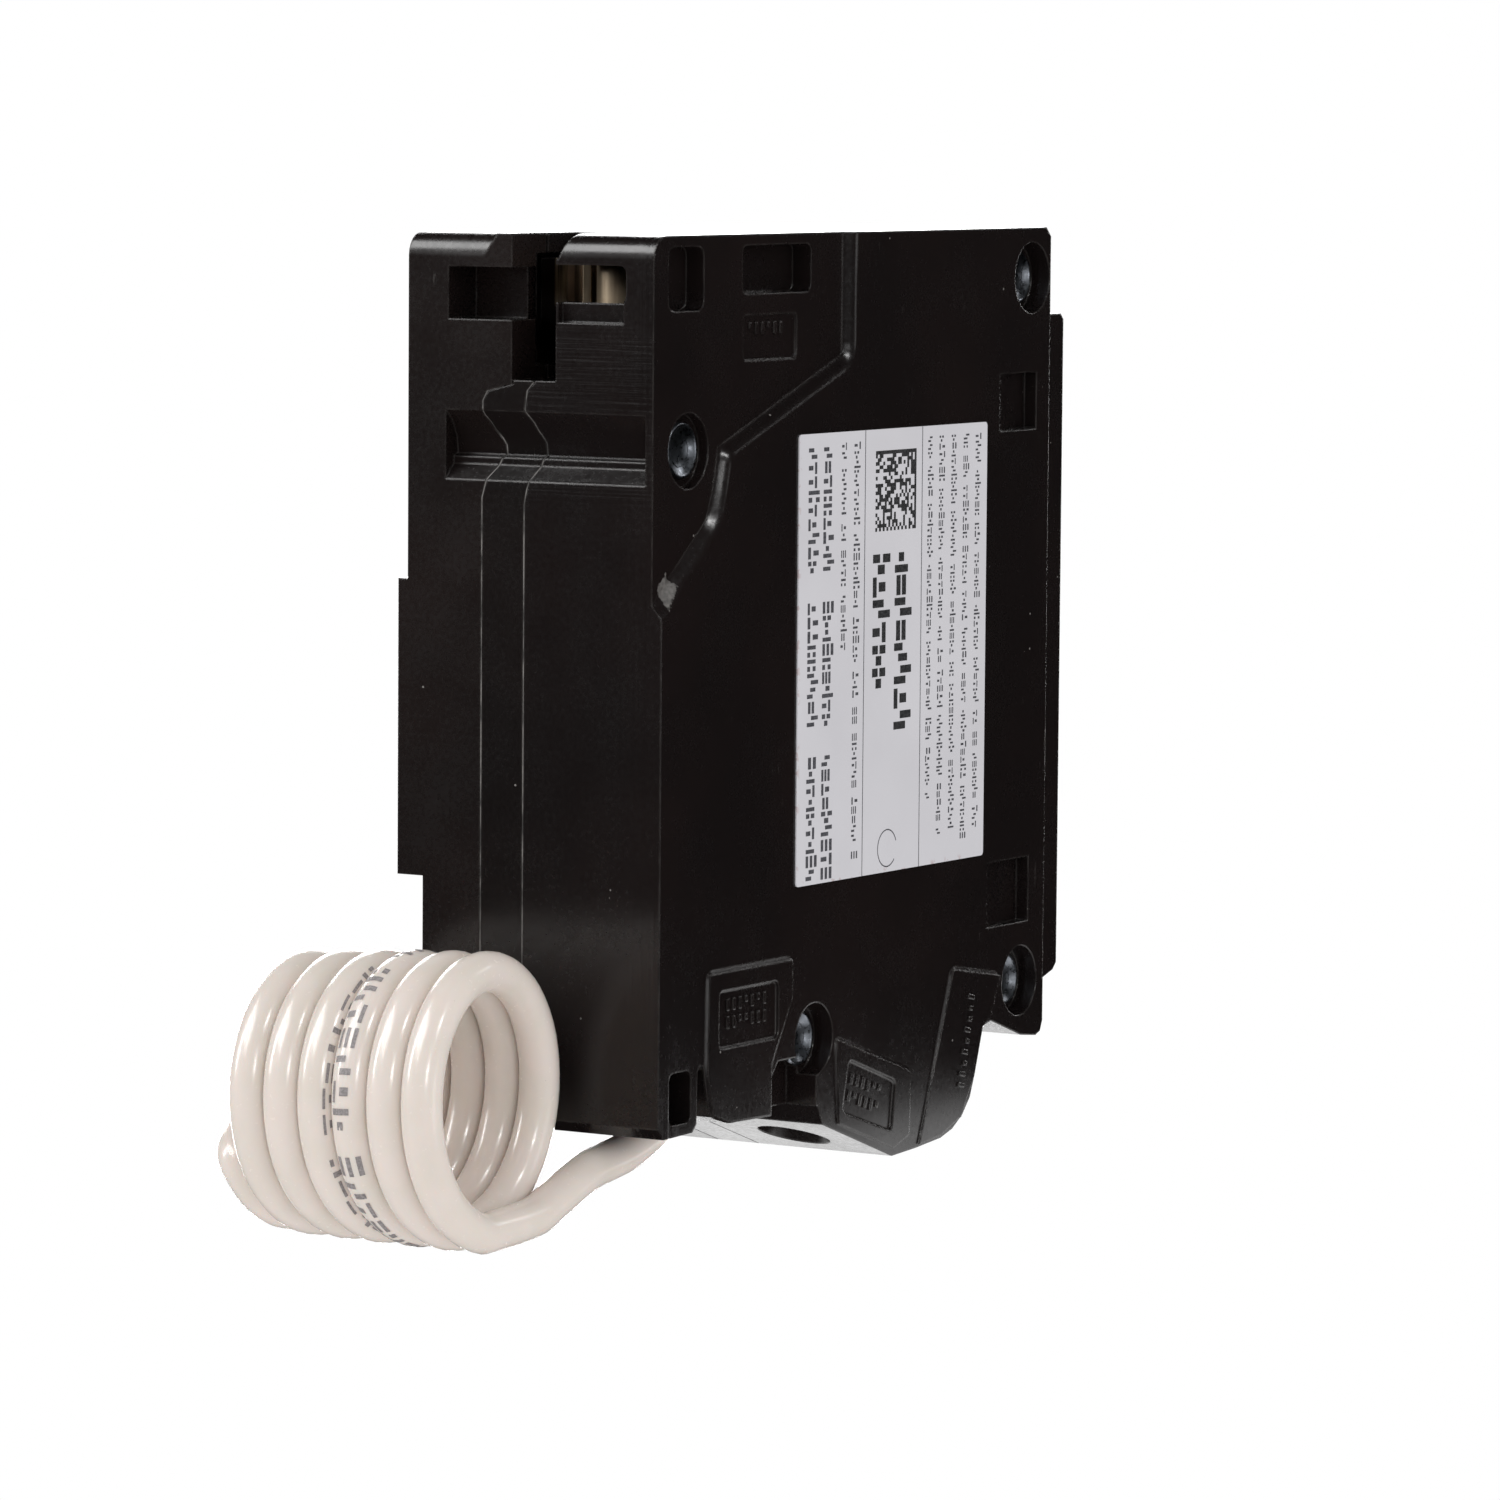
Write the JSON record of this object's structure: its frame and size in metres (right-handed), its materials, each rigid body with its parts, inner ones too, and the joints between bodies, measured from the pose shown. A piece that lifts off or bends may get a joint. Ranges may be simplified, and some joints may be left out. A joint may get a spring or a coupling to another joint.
{
  "type": "circuit breaker",
  "caption": "Plug-on ground-fault circuit breaker in a riveted moulded case, with a toggle handle, test button, box lugs and a coiled neutral lead.",
  "frame": {"origin": "middle of the width, on the back face, level with the underside of the rail foot, where the panel's mounting rail takes the breaker", "axes": "+X out of the labelled side, +Y out of the front where the handle is, +Z towards the line end that plugs on the bus"},
  "size_m": [0.0327, 0.0974, 0.0798],
  "materials": {
    "moulded_black": "moulded thermoset, glossy",
    "rivet_zinc": "bluish zinc",
    "label_white": "matt printed film",
    "handle_black": "satin moulded",
    "button_yellow": "moulded",
    "lens_red": "clear tinted",
    "tinned_copper": "tinned copper strip",
    "copper": "bare copper",
    "spring_steel": "spring wire",
    "plated_steel": "zinc plated",
    "silver": "silver alloy",
    "board_green": "glass-epoxy board",
    "chip_black": "moulded package",
    "disc_blue": "dipped coating",
    "fibre_brown": "vulcanised fibre",
    "wire_white": "semi-gloss wire insulation"
  },
  "bodies": {
    "case": {"near_case": "moulded_black", "mid_case": "moulded_black", "far_case": "moulded_black", "rivet_1": "rivet_zinc", "rivet_2": "rivet_zinc", "rivet_3": "rivet_zinc", "rivet_4": "rivet_zinc", "side_label": "label_white", "handle_pivot_pin": "plated_steel", "test_button_spring": "spring_steel", "test_contact_leaf": "copper", "lamp_lens": "lens_red", "lamp": "lens_red", "line_jaw": "tinned_copper", "jaw_spring": "tinned_copper", "line_strap": "copper", "fixed_contact": "silver", "contact_arm_pin": "plated_steel", "arc_chute_frame": "fibre_brown", "arc_plate_1": "plated_steel", "arc_plate_2": "plated_steel", "arc_plate_3": "plated_steel", "arc_plate_4": "plated_steel", "arc_plate_5": "plated_steel", "cradle_pivot_pin": "plated_steel", "toggle_spring": "spring_steel", "bimetal_strip": "copper", "magnet_yoke": "plated_steel", "armature_pin": "plated_steel", "calibration_screw": "plated_steel", "flexible_braid": "copper", "load_neutral_lug": "plated_steel", "load_power_lug": "plated_steel", "load_conductor": "copper", "neutral_conductor": "wire_white", "pigtail_terminal": "tinned_copper", "circuit_board": "board_green", "control_chip": "chip_black", "surge_disc": "disc_blue", "capacitor": "chip_black", "sensor_toroid": "disc_blue", "trip_solenoid": "plated_steel", "pigtail_lead": "wire_white", "pigtail_coil": "wire_white", "pigtail_bare_end": "copper"},
    "handle": {"handle": "handle_black"},
    "contact_arm": {"contact_arm": "copper", "moving_contact": "silver"},
    "cradle": {"cradle": "plated_steel"},
    "armature": {"armature": "plated_steel"},
    "plunger": {"solenoid_plunger": "plated_steel"},
    "test_button": {"test_button": "button_yellow"},
    "power_screw": {"load_power_screw": "plated_steel"},
    "neutral_screw": {"load_neutral_screw": "plated_steel"}
  },
  "joints": [
    {"name": "handle_toggle", "type": "hinge", "parent": "case", "child": "handle", "pos_m": [0.003, 0.054, 0.038], "axis": [1, 0, 0], "range_deg": [0, 44], "deforming": ["toggle_spring", "flexible_braid"]},
    {"name": "contact_arm_swing", "type": "hinge", "parent": "case", "child": "contact_arm", "pos_m": [0.0033, 0.044, 0.041], "axis": [1, 0, 0], "range_deg": [-18.2, 0]},
    {"name": "cradle_trip", "type": "hinge", "parent": "case", "child": "cradle", "pos_m": [0.004, 0.04, 0.016], "axis": [1, 0, 0], "range_deg": [-25, 0]},
    {"name": "armature_pull", "type": "hinge", "parent": "case", "child": "armature", "pos_m": [0.0042, 0.0241, 0.0396], "axis": [1, 0, 0], "range_deg": [-2.3, 0], "stiffness_Nm_per_rad": 0.003, "springref_deg": 5.73},
    {"name": "plunger_slide", "type": "slide", "parent": "case", "child": "plunger", "axis": [0, -1, 0], "range_m": [0, 0.0015], "stiffness_N_per_m": 40, "springref_m": -0.0005},
    {"name": "test_button_press", "type": "slide", "parent": "case", "child": "test_button", "axis": [0, -1, 0], "range_m": [0, 0.0014], "stiffness_N_per_m": 400, "springref_m": -0.0005, "deforming": ["test_button_spring"]},
    {"name": "load_power_screw_turn", "type": "hinge", "parent": "case", "child": "power_screw", "pos_m": [-0.00775, 0.047, -0.0002], "axis": [0, 1, 0], "range_deg": [0, 1440]},
    {"name": "load_neutral_screw_turn", "type": "hinge", "parent": "case", "child": "neutral_screw", "pos_m": [0.0062, 0.0362, 0.0016], "axis": [0, 1, 0], "range_deg": [0, 1440]}
  ],
  "couplings": [
    {"joint": "contact_arm_swing", "follows": "handle_toggle", "ratio": -0.40909}
  ]
}
